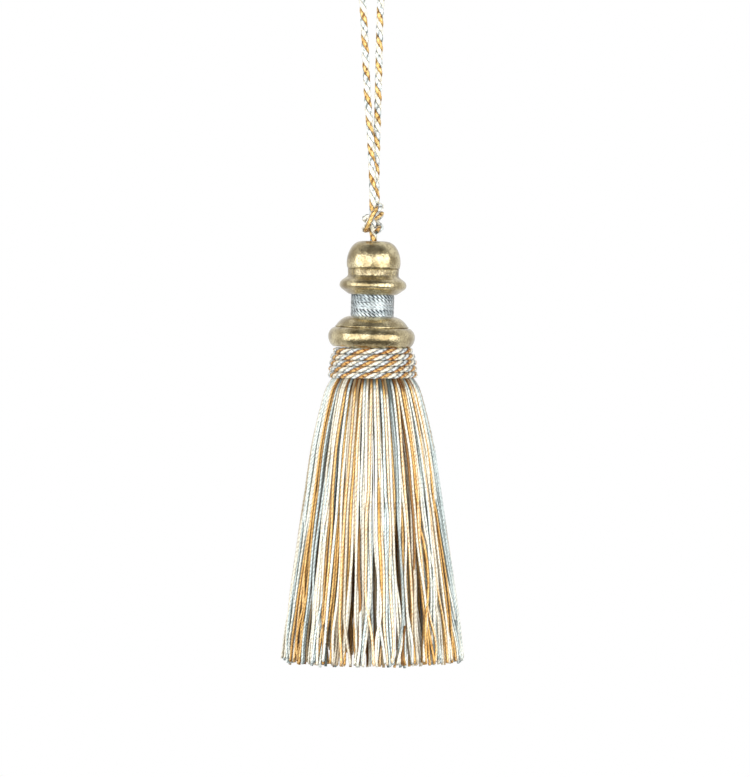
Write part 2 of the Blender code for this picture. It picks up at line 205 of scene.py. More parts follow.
class Spool:
    """Gathers yarns for one mesh, with a map of their fibres: lays along a yarn, and turns about it."""

    def __init__(self):
        self.corners, self.faces, self.maps, self.tints, self.slots = [], [], [], [], []
        self.count = 0

    def wind(
        self,
        paths,
        side,
        radius,
        valley,
        around=16,
        lay=YARN_LAY,
        turn=0.0,
        slot=0,
        tint=0.5,
        crevice_shade=0.0,
        crevice_shade_from=0.0,
    ):
        """Many yarns at once, paths being yarns x points x 3. A corner is path + radius * share * (side
        cos(angle) + across sin(angle)). The share is 1 less a squared sine with its lowest points, the
        valleys, between the two plies, and the angle turns once in a lay. Without a valley the yarn is
        round and unturned. With crevice shade, the tint falls by that share, as painted shade, where a
        yarn has turned so many degrees from its side, into the yarn next to it."""
        yarns, rings = paths.shape[:2]
        twisted = valley is not None
        ahead = headings(paths)
        side = square_to(ahead, np.broadcast_to(side, paths.shape))
        across = np.cross(ahead, side)
        lays = run_along(paths) / lay
        corner = np.arange(around) / around
        about = corner + lays[..., None] * twisted
        angle = TAU * about + np.broadcast_to(turn, yarns)[:, None, None] * twisted
        depth = 1 - np.broadcast_to(valley if twisted else 1.0, lays.shape)[..., None]
        reach = np.broadcast_to(radius, lays.shape)[..., None] * (1 - depth * np.sin(TAU * corner) ** 2)
        outward = np.cos(angle)[..., None] * side[:, :, None] + np.sin(angle)[..., None] * across[:, :, None]
        self.corners.append((paths[:, :, None] + reach[..., None] * outward).reshape(-1, 3))
        # Painted shade on the side where the yarn turns into its neighbour.
        away = np.degrees(np.arccos(np.clip(np.cos(angle), -1, 1)))
        start = np.broadcast_to(crevice_shade_from, yarns)[:, None, None]
        shaded = 1 - crevice_shade * eased((away - start) / CREVICE_SHADE_WIDTH)
        self.tints.append((np.broadcast_to(tint, (yarns, rings))[..., None] * shaded).ravel())
        self.add_maps(lays, about)
        self.add_faces(yarns, rings, around, np.broadcast_to(slot, yarns))

    def add_maps(self, lays, about):
        """Where each corner of each face is among the fibres: lays along the yarn, and turns about it."""
        closed = np.concatenate([about, about[..., :1] + 1], -1)
        pairs = np.stack([np.broadcast_to(lays[..., None], closed.shape), closed], -1)
        quads = np.stack([pairs[:, :-1, :-1], pairs[:, :-1, 1:], pairs[:, 1:, 1:], pairs[:, 1:, :-1]], 3)
        caps = [np.repeat(pairs[:, end, :1], about.shape[-1], 1).reshape(-1, 2) for end in (0, -1)]
        self.maps.append(np.concatenate([quads.reshape(-1, 2), *caps]))

    def add_faces(self, yarns, rings, around, slots):
        """The quads along each yarn, the caps on their starts and on their ends, and all their finishes."""
        first = self.count + np.arange(yarns)[:, None] * rings * around
        quads = (grid_faces(rings, around) + first[..., None]).reshape(-1, 4)
        cap = np.arange(around)
        self.faces.append((quads, first + cap[::-1], first + (rings - 1) * around + cap))
        self.slots.append(np.concatenate([np.repeat(slots, (rings - 1) * around), slots, slots]))
        self.count += yarns * rings * around

    def build(self, name, finishes, slot):
        """The gathered yarns as one piece, with the maps as a UV map and the tints as an attribute."""
        loops = np.concatenate([part.ravel() for parts in self.faces for part in parts])
        sizes = np.concatenate([np.full(len(part), part.shape[1]) for parts in self.faces for part in parts])
        corners = np.concatenate(self.corners)
        mesh = bpy.data.meshes.new(name)
        mesh.vertices.add(len(corners))
        mesh.vertices.foreach_set("co", corners.astype(np.float32).ravel())
        mesh.loops.add(len(loops))
        mesh.loops.foreach_set("vertex_index", loops.astype(np.int32))
        mesh.polygons.add(len(sizes))
        mesh.polygons.foreach_set("loop_start", (np.cumsum(sizes) - sizes).astype(np.int32))
        mesh.polygons.foreach_set("material_index", np.concatenate(self.slots).astype(np.int32))
        mesh.polygons.foreach_set("use_smooth", np.ones(len(sizes), bool))
        mesh.update(calc_edges=True)
        fibres = mesh.uv_layers.new(name="fibres")
        fibres.uv.foreach_set("vector", np.concatenate(self.maps).astype(np.float32).ravel())
        tint = mesh.attributes.new("tint", "FLOAT", "POINT")
        tint.data.foreach_set("value", np.concatenate(self.tints).astype(np.float32))
        for finish in finishes:
            mesh.materials.append(finish)
        return add_piece(name, mesh)


def lay_up(axis, side, diameter, lays):
    """The three yarns of a cord: path = axis + offset * (side cos(twist) + across sin(twist)), the twist
    left-handed, once round in each of the lays, and a third of a turn apart. Gives paths and outward
    directions, yarns x points x 3, and the yarn's radius."""
    ahead = headings(axis)
    side = square_to(ahead, side)
    across = np.cross(ahead, side)
    twist = -TAU * lays + TAU * np.arange(3)[:, None] / 3
    outward = np.cos(twist)[..., None] * side + np.sin(twist)[..., None] * across
    return axis + PLY_OFFSET_SHARE * diameter * outward, outward, PLY_RADIUS_SHARE * diameter


# ---------------------------------------- finishes


class Nodes:
    """Short ways to add and link shader nodes in one node tree."""

    def __init__(self, tree):
        self.tree = tree

    def put(self, socket, value):
        """A link or a constant into a socket."""
        if isinstance(value, bpy.types.NodeSocket):
            self.tree.links.new(value, socket)
        else:
            socket.default_value = value

    def node(self, kind, inputs=None, **settings):
        """A node of this kind, with its settings and what goes into its inputs."""
        made = self.tree.nodes.new(kind)
        for name, value in settings.items():
            setattr(made, name, value)
        for name, value in (inputs or {}).items():
            self.put(made.inputs[name], value)
        return made

    def maths(self, operation, *values):
        """One operation on one, two or three values."""
        made = self.node("ShaderNodeMath", operation=operation)
        for socket, value in zip(made.inputs, values):
            self.put(socket, value)
        return made.outputs[0]

    def times(self, a, b):
        """a * b."""
        return self.maths("MULTIPLY", a, b)

    def blend(self, share, a, b):
        """From colour a to colour b."""
        made = self.node("ShaderNodeMix", data_type="RGBA")
        self.put(made.inputs[0], share)
        for socket, value in ((made.inputs[6], a), (made.inputs[7], b)):
            self.put(socket, value if isinstance(value, bpy.types.NodeSocket) else (*value, 1.0))
        return made.outputs[2]

    def ramp(self, value, low, high, low_out=0.0, high_out=1.0):
        """A smooth step between two values."""
        made = self.node("ShaderNodeMapRange", interpolation_type="SMOOTHSTEP")
        numbers = {"Value": value, "From Min": low, "From Max": high, "To Min": low_out, "To Max": high_out}
        for name, number in numbers.items():
            self.put(made.inputs[name], number)
        return made.outputs[0]

    def noise(self, vector, scale=1.0, detail=2.0):
        """Smooth noise about 0.5."""
        inputs = {"Vector": vector, "Scale": scale, "Detail": detail}
        return self.node("ShaderNodeTexNoise", inputs).outputs[0]

    def vector(self, x=0.0, y=0.0, z=0.0):
        """Three values as one vector."""
        return self.node("ShaderNodeCombineXYZ", {0: x, 1: y, 2: z}).outputs[0]

    def moved(self, vector, location=(0, 0, 0), scale=(1, 1, 1)):
        """The vector scaled and then shifted."""
        inputs = {"Vector": vector, "Location": location, "Scale": scale}
        return self.node("ShaderNodeMapping", inputs).outputs[0]

    def place_in_yarn(self, about, along, girth, stretch):
        """A place for noise, closed round a yarn: (girth cos(about), girth sin(about), stretch along)."""
        angle = self.times(about, TAU)
        x, y = self.maths("COSINE", angle), self.maths("SINE", angle)
        return self.vector(self.times(x, girth), self.times(y, girth), self.times(along, stretch))


def new_finish(name, roughness, metallic=0.0):
    """A material, the short ways to its nodes, and its shader."""
    finish = bpy.data.materials.new(name)
    finish.use_nodes = True
    shader = finish.node_tree.nodes["Principled BSDF"]
    shader.inputs["Metallic"].default_value = metallic
    shader.inputs["Roughness"].default_value = roughness
    return finish, Nodes(finish.node_tree), shader


PALE = (1.0, 0.93, 0.76)  # the colour that a yarn washes out to
STREAK_GIRTH, STREAK_STRETCH = 3.0, 0.9  # how finely fibres divide a yarn, round it and along a lay
FLECK_SHIFT, FLECK_SCALE = (9.0, 4.0, 2.0), (1, 1, 5)  # flecks are such streaks elsewhere, and shorter
PATCH_STRETCH, PATCH_SPREAD = 0.35, 40.0  # patches are long, and differ from yarn to yarn by their tint
UNEVEN_GIRTH, UNEVEN_STRETCH = 0.7, 1.1
UNEVEN_TWIST = 0.7  # how far the plies' twist strays with the unevenness, in plies
# Where each smooth step starts and ends and, where these aren't 0 and 1, what it gives there.
LIGHT_STEP = (0.32, 0.62)
PATCH_STEP = (0.45, 0.65, 0.0, 0.6)
WASHED_STEP = (0.45, 0.95, 0.0, 0.75)
FLECK_STEP = (0.5, 0.68)
SHADE_STEP = (0.0, 0.5, 1.0, 0.0)
GROOVE_STEP = (0.3, 1.0)
GROOVE_BREAKS = (0.38, 0.6, 0.25, 1.0)
GLOSS_STEP = (0.25, 0.75)
YARN_ROUGHNESS = 0.42  # about the middle of what a yarn's gloss gives
GROOVE_ROUGHNESS = 0.3  # how much duller a groove is
FIBRE_RELIEF = 0.12  # how high the fibres stand, against the groove's relief
BUMP_HEIGHT = 0.25 * MM
GLOW_DEPTH = 0.35 * MM
GLOW_COLOUR = (1.0, 0.9, 0.75)  # how far red, green and blue light go in, as shares of that
ACROSS_FIBRES = 0.25  # of a turn from the fibres' own direction


def yarn_finish(
    name,
    light,
    deep,
    shade,
    lustre,
    groove_shade,
    relief,
    fuzz,
    flecks,
    plies=2,
    gloss=(0.5, 0.34),
    drawn=0.7,
    glow=0.0,
):
    """Lustrous yarn. Fibres run along it as fine streaks, and the grooves between its plies are deeper and
    darkened with painted shade. The tint is 0.5 for a plain yarn, goes to 0 where shade is painted deep
    into it and to 1 where it is washed pale. The gloss is drawn out across the fibres, as on silk, and fuzz
    adds a pale bloom at the edges."""
    finish, nodes, shader = new_finish(name, YARN_ROUGHNESS, lustre)
    fibre_map = nodes.node("ShaderNodeUVMap", uv_map="fibres").outputs[0]
    along, about = nodes.node("ShaderNodeSeparateXYZ", {0: fibre_map}).outputs[:2]
    tint = nodes.node("ShaderNodeAttribute", attribute_name="tint").outputs["Fac"]

    streak_place = nodes.place_in_yarn(about, along, STREAK_GIRTH, STREAK_STRETCH)
    fibres = nodes.noise(streak_place, detail=3.0)
    spots = nodes.noise(nodes.moved(streak_place, FLECK_SHIFT, FLECK_SCALE), detail=1.0)
    patches = nodes.noise(nodes.vector(nodes.times(along, PATCH_STRETCH), nodes.times(tint, PATCH_SPREAD)))
    unevenness = nodes.noise(nodes.place_in_yarn(about, along, UNEVEN_GIRTH, UNEVEN_STRETCH))

    ply_line = nodes.maths("SUBTRACT", about, along)
    twist = nodes.maths("MULTIPLY_ADD", unevenness, UNEVEN_TWIST / plies, ply_line)
    groove = nodes.maths("POWER", nodes.maths("SINE", nodes.times(twist, math.pi * plies)), 2.0)
    line = nodes.times(nodes.ramp(groove, *GROOVE_STEP), nodes.ramp(unevenness, *GROOVE_BREAKS))

    base = nodes.blend(nodes.ramp(fibres, *LIGHT_STEP), deep, light)
    base = nodes.blend(nodes.ramp(patches, *PATCH_STEP), base, deep)
    base = nodes.blend(nodes.ramp(tint, *WASHED_STEP), base, PALE)
    base = nodes.blend(nodes.ramp(spots, *FLECK_STEP, 0.0, flecks), base, shade)
    # Painted shade in the grooves between the plies, broken up by the unevenness.
    base = nodes.blend(nodes.times(line, groove_shade), base, shade)
    # Painted shade where the tint falls: crevices between yarns, the inner rings and the collar's shadow.
    base = nodes.blend(nodes.ramp(tint, *SHADE_STEP), base, shade)
    nodes.put(shader.inputs["Base Color"], base)

    polish = nodes.ramp(fibres, *GLOSS_STEP, *gloss)
    nodes.put(shader.inputs["Roughness"], nodes.maths("MULTIPLY_ADD", line, GROOVE_ROUGHNESS, polish))
    height = nodes.maths("MULTIPLY_ADD", fibres, FIBRE_RELIEF, nodes.times(groove, -relief * groove_shade))
    bump = nodes.node("ShaderNodeBump", {"Height": height, "Strength": 1.0, "Distance": BUMP_HEIGHT})
    nodes.put(shader.inputs["Normal"], bump.outputs[0])
    tangent = nodes.node("ShaderNodeTangent", direction_type="UV_MAP", uv_map="fibres")
    nodes.put(shader.inputs["Tangent"], tangent.outputs[0])
    shader.inputs["Anisotropic"].default_value = drawn
    shader.inputs["Anisotropic Rotation"].default_value = ACROSS_FIBRES
    shader.inputs["Subsurface Weight"].default_value = glow
    shader.inputs["Subsurface Radius"].default_value = GLOW_COLOUR
    shader.inputs["Subsurface Scale"].default_value = GLOW_DEPTH
    shader.inputs["Sheen Weight"].default_value = fuzz
    shader.inputs["Sheen Roughness"].default_value = 0.4
    return finish


# Each yarn's light, deep and shade colours, its lustre and how much painted shade darkens its grooves.
# The shade colour is the painted shade of grooves, crevices, inner rings and the collar's shadow, and the
# colour of the flecks.
SKIRT_COLOURS = (
    ("ochre_yarn", (0.98, 0.68, 0.25), (0.68, 0.33, 0.055), (0.18, 0.07, 0.01), 0.4, 0.4),
    ("ivory_yarn", (0.92, 0.92, 0.83), (0.82, 0.79, 0.65), (0.31, 0.22, 0.11), 0.25, 0.4),
    ("pale_blue_yarn", (0.85, 0.93, 0.91), (0.60, 0.70, 0.70), (0.11, 0.14, 0.13), 0.4, 0.4),
)
CORD_COLOURS = (
    ("ochre_cord_yarn", (1.0, 0.77, 0.33), (0.78, 0.42, 0.08), (0.16, 0.055, 0.003), 0.3, 0.9),
    ("ivory_cord_yarn", (1.0, 0.99, 0.87), (0.96, 0.92, 0.76), (0.16, 0.10, 0.045), 0.1, 0.5),
    ("blue_cord_yarn", (0.94, 0.98, 0.94), (0.86, 0.93, 0.92), (0.012, 0.026, 0.022), 0.15, 0.75),
)
COLLAR_COLOURS = (
    ("ochre_collar_yarn", (1.0, 0.76, 0.31), (0.80, 0.36, 0.055), (0.20, 0.05, 0.003), 0.3, 0.95),
    ("ivory_collar_yarn", (1.0, 0.99, 0.87), (0.98, 0.92, 0.73), (0.17, 0.095, 0.035), 0.1, 0.5),
    ("blue_collar_yarn", (0.98, 1.0, 0.98), (0.84, 0.92, 0.92), (0.014, 0.024, 0.026), 0.15, 0.7),
)
NECK_COLOURS = ("neck_winding_yarn", (0.93, 0.99, 1.0), (0.56, 0.65, 0.69), (0.01, 0.026, 0.034), 0.9, 1.0)
SKIRT_LOOK = {"relief": 0.5, "fuzz": 0.35, "flecks": 0.5}
CORD_LOOK = {"relief": 0.5, "fuzz": 0.3, "flecks": 0.25, "glow": 0.4}
COLLAR_LOOK = {"relief": 0.6, "fuzz": 0.25, "flecks": 0.35}
NECK_LOOK = {"relief": 0.15, "fuzz": 0.5, "flecks": 0.6, "plies": 9, "gloss": (0.5, 0.38), "drawn": 0.93}
SKIRT_YARNS = [yarn_finish(*colours, **SKIRT_LOOK) for colours in SKIRT_COLOURS]
CORD_YARNS = [yarn_finish(*colours, **CORD_LOOK) for colours in CORD_COLOURS]
COLLAR_YARNS = [yarn_finish(*colours, **COLLAR_LOOK) for colours in COLLAR_COLOURS]
NECK_YARN = yarn_finish(*NECK_COLOURS, **NECK_LOOK)

# The gilt's noises are scaled per metre, and its coarse band fades in and out at depths below the crown.
GRAIN_SCALE = 1700.0
CRUMB_SCALE = 1900.0
CLOUD_SCALE = 260.0
TURNING_STRETCH = (0.12, 0.12, 1.0)  # lines run round the head
BAND_START = (8.9 * MM, 9.4 * MM)
BAND_END = (11.0 * MM, 12.2 * MM, 1.0, 0.0)
GOLD_STEP = (0.3, 0.7)
GRAIN_STEP = (0.45, 0.68, 0.0, 0.6)
CRUMB_STEP = (0.5, 0.66, 0.0, 0.5)
DULL_STEP = (0.3, 0.75, 0.18, 0.27)
BRONZE, GOLD = (0.31, 0.24, 0.112), (0.77, 0.67, 0.41)
GRAIN_BROWN, CRUMB_BROWN = (0.22, 0.15, 0.06), (0.20, 0.135, 0.045)
GRAIN_RELIEF, TURNING_RELIEF, CRUMB_RELIEF = 1.2, 0.5, -7.0  # the crumbs are pits


def gilt_finish():
    """Antique gold paint on turned wood: warm bronze with a fine grain, browner in its hollows, over faint
    turning lines. The grain is coarse in the band under the crown, and a thin varnish greys the edges."""
    finish, nodes, shader = new_finish("antique_gilt", roughness=0.3, metallic=0.88)
    place = nodes.node("ShaderNodeTexCoord").outputs["Object"]
    grain = nodes.noise(place, GRAIN_SCALE, 4.0)
    cloud = nodes.noise(place, CLOUD_SCALE, 4.0)
    crumbs = nodes.noise(place, CRUMB_SCALE)
    turning = nodes.noise(nodes.moved(place, scale=TURNING_STRETCH), GRAIN_SCALE)
    below = nodes.maths("SUBTRACT", HEAD_TOP, nodes.node("ShaderNodeSeparateXYZ", {0: place}).outputs[2])
    band = nodes.times(nodes.ramp(below, *BAND_START), nodes.ramp(below, *BAND_END))

    base = nodes.blend(nodes.ramp(cloud, *GOLD_STEP), BRONZE, GOLD)
    base = nodes.blend(nodes.ramp(grain, *GRAIN_STEP), base, GRAIN_BROWN)
    base = nodes.blend(nodes.times(nodes.ramp(crumbs, *CRUMB_STEP), band), base, CRUMB_BROWN)
    nodes.put(shader.inputs["Base Color"], base)
    nodes.put(shader.inputs["Roughness"], nodes.ramp(cloud, *DULL_STEP))
    fine = nodes.times(grain, GRAIN_RELIEF)
    rough = nodes.maths("MULTIPLY_ADD", nodes.times(crumbs, band), CRUMB_RELIEF, fine)
    height = nodes.maths("MULTIPLY_ADD", turning, TURNING_RELIEF, rough)
    bump = nodes.node("ShaderNodeBump", {"Height": height, "Strength": 0.8, "Distance": 0.1 * MM})
    nodes.put(shader.inputs["Normal"], bump.outputs[0])
    shader.inputs["Coat Weight"].default_value = 0.6
    shader.inputs["Coat Roughness"].default_value = 0.25
    shader.inputs["Coat IOR"].default_value = 1.5
    return finish


GILT = gilt_finish()

# ---------------------------------------- camera

VIEW_CENTRE = (0.00083, 0.0, -0.1498)
CAMERA_ELEVATION = math.radians(2.0)
CAMERA_DISTANCE = 1.0
IMAGE_HEIGHT = 777  # pixels, and the longer side, which takes the sensor's whole width
PIXEL = 0.33  # millimetres, on the upright plane through the tassel
FRAME_HEIGHT = IMAGE_HEIGHT * PIXEL * MM

camera_data = bpy.data.cameras.new("camera")
camera_data.lens = camera_data.sensor_width * CAMERA_DISTANCE / FRAME_HEIGHT
camera = add_object("camera", camera_data)
camera.location = (
    VIEW_CENTRE[0],
    VIEW_CENTRE[1] - CAMERA_DISTANCE * math.cos(CAMERA_ELEVATION),
    VIEW_CENTRE[2] + CAMERA_DISTANCE * math.sin(CAMERA_ELEVATION),
)
camera.rotation_euler = (math.pi / 2 - CAMERA_ELEVATION, 0.0, 0.0)
bpy.context.scene.camera = camera

# ---------------------------------------- hanging cord and knot

PLY_COLOURS = (0, 1, 2)  # a cord's three yarns are ochre, ivory and pale blue
# Millimetres along the cord, and how often its three yarns have gone round there: slacker in the knot.
CORD_LAYS = (
    (0.0, -2.3),
    (7.0, -1.5),
    (35.5, 1.5),
    (80.0, 6.5),
    (144.1, 13.5),
    (192.9, 19.5),
    (203.9, 20.9),
    (206.8, 20.97),
    (212.6, 21.67),
    (221.0, 21.8),
    (235.7, 22.75),
    (242.9, 23.2),
    (256.0, 24.46),
    (280.0, 27.0),
)
CORD_VALLEY = 0.88  # a yarn's radius between its plies, as a share of its radius over them
CORD_CREVICE_SHADES = (52, 66, 60)  # degrees from its outward side where the painted shade of each yarn's crevice starts
AXIS_SPACING = 0.36 * MM


def loop_route():
    """The route's points: up the standing leg, over a half circle, and down the falling leg."""
    up = [(x, 0.0, z) for x, z in STANDING_LEG]
    angle = math.pi * (1 - np.arange(LOOP_BEND_STEPS + 1) / LOOP_BEND_STEPS)
    across = LOOP_MIDDLE + LOOP_BEND_RADIUS * np.cos(angle)
    bend = np.stack([across, 0 * angle, LOOP_TOP - LOOP_BEND_RADIUS * (1 - np.sin(angle))], -1)
    return np.concatenate([up, bend, FALLING_LEG]) * MM


def carried_side(ahead):
    """A side direction along a path: the back at its start, then carried on with no twist of its own."""
    side = np.empty_like(ahead)
    side[0] = (0.0, 1.0, 0.0)
    for point in range(1, len(ahead)):
        side[point] = square_to(ahead[point], side[point - 1])
    return side


def make_cord():
    """The cord and its knot, laid up in one run so that the yarns carry on from one to the other, and the
    cord's own centreline. The knot's cord is drawn in: path = centre + (path - centre) * slimmer."""
    loop = evenly(through(loop_route()), AXIS_SPACING)
    knot = evenly(through(np.concatenate([[loop[-1] / MM], KNOT_ROUTE])) * MM, AXIS_SPACING)
    axis = np.concatenate([loop, knot[1:]])
    join = len(loop) - 1
    lays = np.interp(run_along(axis) / MM, *np.transpose(CORD_LAYS))
    paths, outward, radius = lay_up(axis, carried_side(headings(axis)), CORD_DIAMETER, lays)
    # Painted shade in the crevices where each yarn turns into the next.
    look = {
        "valley": CORD_VALLEY,
        "lay": CORD_YARN_LAY,
        "slot": PLY_COLOURS,
        "crevice_shade": 1.0,
        "crevice_shade_from": CORD_CREVICE_SHADES,
    }
    cord, tie = Spool(), Spool()
    cord.wind(paths[:, : join + 3], outward[:, : join + 3], radius, **look)
    slimmer = KNOT_CORD / CORD_DIAMETER
    centre = axis[join:]
    drawn_in = centre + (paths[:, join:] - centre) * slimmer
    tie.wind(drawn_in, outward[:, join:], radius * slimmer, **look)
    cord = cord.build("hanging_cord_yarns", CORD_YARNS, "ivory_yarn")
    return cord, tie.build("knot_yarns", CORD_YARNS, "ivory_yarn"), loop


cord_piece, knot_piece, cord_line = make_cord()
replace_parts(cord_piece, "hanging_cord")
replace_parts(knot_piece, "knot")

# ---------------------------------------- head

# Radius and depth below the crown, in millimetres. A run is smooth within itself and sharp where it meets
# the next.
HEAD_RUNS = (
    ((0.0, 8.0), (1.75, 8.0)),
    ((1.75, 8.0), (1.75, 0.35)),
    ((1.75, 0.35), (1.85, 0.12), (2.1, 0.02)),
    (
        (2.1, 0.02),
        (3.7, 0.0),
        (5.0, 0.22),
        (6.1, 0.75),
        (7.1, 1.65),
        (7.9, 2.9),
        (8.5, 4.4),
        (8.82, 6.0),
        (8.88, 7.4),
        (8.72, 8.6),
        (8.55, 9.0),
    ),
    ((8.55, 9.0), (8.3, 9.1), (8.34, 9.2), (8.58, 9.28)),
    (
        (8.58, 9.28),
        (8.46, 9.6),
        (8.42, 10.3),
        (8.38, 10.9),
        (8.4, 11.3),
        (8.65, 11.75),
        (9.3, 12.3),
        (10.1, 12.85),
        (10.7, 13.45),
        (10.97, 14.05),
        (11.04, 14.6),
        (10.92, 15.15),
        (10.4, 15.8),
        (9.5, 16.45),
        (8.6, 17.1),
        (7.75, 17.6),
    ),
    ((7.75, 17.6), (5.95, 17.6)),
    ((5.95, 17.6), (5.95, 24.85)),
    ((5.95, 24.85), (7.75, 24.85)),
    ((7.75, 24.85), (9.0, 25.3), (10.0, 25.9), (10.9, 26.7), (11.55, 27.5), (11.85, 27.95)),
    ((11.85, 27.95), (12.05, 28.0), (12.12, 28.2), (12.0, 28.4), (11.9, 28.45)),
    (
        (11.9, 28.45),
        (12.5, 28.6),
        (13.2, 29.05),
        (13.8, 29.75),
        (14.2, 30.6),
        (14.32, 31.5),
        (14.22, 32.4),
        (13.9, 33.35),
        (13.4, 34.2),
        (12.6, 34.9),
    ),
    ((12.6, 34.9), (6.5, 34.9)),
    ((6.5, 34.9), (6.5, 41.9)),
    ((6.5, 41.9), (0.0, 41.9)),
)
HEAD_AROUND = 160
RUN_STEPS = 6


def leaning(points):
    """Points of the head's own frame in the tassel's: turned about Y by the lean, then set on the skirt."""
    x, y, z = points[..., 0], points[..., 1], points[..., 2]
    c, s = math.cos(HEAD_LEAN), math.sin(HEAD_LEAN)
    return np.stack([HEAD_OFFSET + x * c + z * s, y, HEAD_BASE - x * s + z * c], -1)


def run_points(run):
    """A smooth curve through a run of three or more points, or a straight line through two."""
    return through(run, RUN_STEPS) if len(run) > 2 else np.array(run, float)


def make_head():
    """The outline carried round the axis: x = r cos(angle), y = r sin(angle), z = height - depth. Its two
    points on the axis are one corner each, and the rings where runs meet are sharp edges."""
    curves = [run_points(run) for run in HEAD_RUNS]
    outline = np.concatenate([curve[:-1] for curve in curves] + [curves[-1][-1:]])
    joins = np.cumsum([len(curve) - 1 for curve in curves])[:-1] - 1
    radius, up = outline[:, 0], HEAD_HEIGHT / MM - outline[:, 1]
    angle = np.arange(HEAD_AROUND) / HEAD_AROUND * TAU
    inner = radius[1:-1, None]
    height = np.broadcast_to(up[1:-1, None], (len(inner), HEAD_AROUND))
    rings = np.stack([inner * np.cos(angle), inner * np.sin(angle), height], -1)
    poles = np.array([[0.0, 0.0, up[0]], [0.0, 0.0, up[-1]]])
    corners = leaning(np.concatenate([rings.reshape(-1, 3), poles]) * MM)

    quads = grid_faces(len(rings), HEAD_AROUND)[:, ::-1]
    index = np.arange(HEAD_AROUND)
    after = (index + 1) % HEAD_AROUND
    first_pole, last_pole = len(corners) - 2, len(corners) - 1
    last_ring = (len(rings) - 1) * HEAD_AROUND
    first_fan = np.stack([index, after, np.full(HEAD_AROUND, first_pole)], -1)
    last_fan = np.stack([last_ring + after, last_ring + index, np.full(HEAD_AROUND, last_pole)], -1)
    mesh = bpy.data.meshes.new("turned_head")
    mesh.from_pydata(corners, [], quads.tolist() + first_fan.tolist() + last_fan.tolist())
    mesh.polygons.foreach_set("use_smooth", np.ones(len(mesh.polygons), bool))

    edges = np.empty(len(mesh.edges) * 2, np.int32)
    mesh.edges.foreach_get("vertices", edges)
    edges = edges.reshape(-1, 2)
    ring = edges // HEAD_AROUND
    on_join = (ring[:, 0] == ring[:, 1]) & np.isin(ring[:, 0], joins) & (edges.max(1) < first_pole)
    sharp = mesh.attributes.new("sharp_edge", "BOOLEAN", "EDGE")
    sharp.data.foreach_set("value", on_join)
    mesh.materials.append(GILT)
    return add_piece("turned_head", mesh)


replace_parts(make_head(), "head")

# ---------------------------------------- neck winding

NECK_TOP, NECK_BOTTOM = 17.6, 24.85  # millimetres below the crown
NECK_RADIUS = 5.95
NECK_TURNS = 6
NECK_TURN_POINTS = 170
NECK_LAY = 9.2 * MM
NECK_YARN_RADIUS = 2.0  # its turns press so far into each other and the wood that only ridges show


def make_neck():
    """One yarn wound down the neck: a helix, level at its first and last half turns."""
    rise = (NECK_BOTTOM - NECK_TOP) / NECK_TURNS
    radius = NECK_RADIUS + rise - NECK_YARN_RADIUS
    turn = np.linspace(0, NECK_TURNS, NECK_TURNS * NECK_TURN_POINTS)
    depth = NECK_TOP + rise * np.clip(turn, 0.5, NECK_TURNS - 0.5)
    angle = TAU * turn + math.pi / 2
    helix = np.stack([radius * np.cos(angle), radius * np.sin(angle), HEAD_HEIGHT / MM - depth], -1)
    path = leaning(helix * MM)
    out = np.stack([np.cos(angle), np.sin(angle), 0 * angle], -1)
    yarn = Spool()
    yarn.wind(path[None], out[None], NECK_YARN_RADIUS * MM, valley=1.0, lay=NECK_LAY)
    return yarn.build("neck_yarn", [NECK_YARN], "pale_blue_yarn")


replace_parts(make_neck(), "neck_wrap")

# ---------------------------------------- collar

COLLAR_CORD = 2.12 * MM
COLLAR_TUCK = 0.25 * MM  # how far its first row stands up past the skirt's top, into the gap under the head
COLLAR_TURNS = 4.88
COLLAR_TURN_POINTS = 230
COLLAR_RISE = 1.97  # millimetres from one row to the next
COLLAR_LEVEL_SHARE = 0.86  # of a turn that is level, before it steps down
COLLAR_ROW_RADII = (12.2, 13.05, 13.45, 13.65, 13.85)
COLLAR_LAYS = (  # of the cord at each row's front, counted from its start, and how many to a turn there
    (5.44, 8.6),
    (16.05, 11.1),
    (27.23, 11.3),
    (38.76, 11.7),
    (50.4, 12.6),
)
COLLAR_FRONT = 0.4  # of a turn, over which those hold
COLLAR_VALLEY = 0.83
# degrees from its outward side where the painted shade of each yarn's crevice starts
COLLAR_CREVICE_SHADES = (43, 61, 46)


def collar_lays(turn):
    """The cord's lays at each turn: straight lines through each row's front, joined round the back, and
    carried on to the cord's end."""
    halves = np.array([-0.5, 0.5]) * COLLAR_FRONT
    at = [row_number + 0.5 + half for row_number in range(len(COLLAR_LAYS)) for half in halves]
    count = [lays + rate * half for lays, rate in COLLAR_LAYS for half in halves]
    to_end = COLLAR_LAYS[-1][1] * (COLLAR_TURNS - at[-1])
    return np.interp(turn, [0.0, *at, COLLAR_TURNS], [0.0, *count, count[-1] + to_end])


def make_collar():
    """The cord wound in level turns that step down at the back and widen towards the skirt."""
    turn = np.linspace(0, COLLAR_TURNS, round(COLLAR_TURNS * COLLAR_TURN_POINTS))
    row = np.floor(turn) + eased((turn % 1 - COLLAR_LEVEL_SHARE) / (1 - COLLAR_LEVEL_SHARE))
    row = np.minimum(row, len(COLLAR_ROW_RADII) - 1)
    radius = np.interp(row, np.arange(len(COLLAR_ROW_RADII)), COLLAR_ROW_RADII)
    angle = math.pi / 2 + TAU * turn
    up = (SKIRT_TOP + COLLAR_TUCK - COLLAR_CORD / 2) / MM - COLLAR_RISE * row
    axis = np.stack([SKIRT_OFFSET / MM + radius * np.cos(angle), radius * np.sin(angle), up], -1) * MM
    out = (axis - [SKIRT_OFFSET, 0, 0]) * [1, 1, 0]
    paths, outward, thick = lay_up(axis, out, COLLAR_CORD, collar_lays(turn))
    yarn = Spool()
    # Painted shade in the crevices where each yarn turns into the next.
    look = {"slot": PLY_COLOURS, "crevice_shade": 1.0, "crevice_shade_from": COLLAR_CREVICE_SHADES}
    yarn.wind(paths, outward, thick, COLLAR_VALLEY, lay=COLLAR_YARN_LAY, **look)
    return yarn.build("collar_yarns", COLLAR_YARNS, "ochre_yarn")


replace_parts(make_collar(), "collar")

# ---------------------------------------- skirt

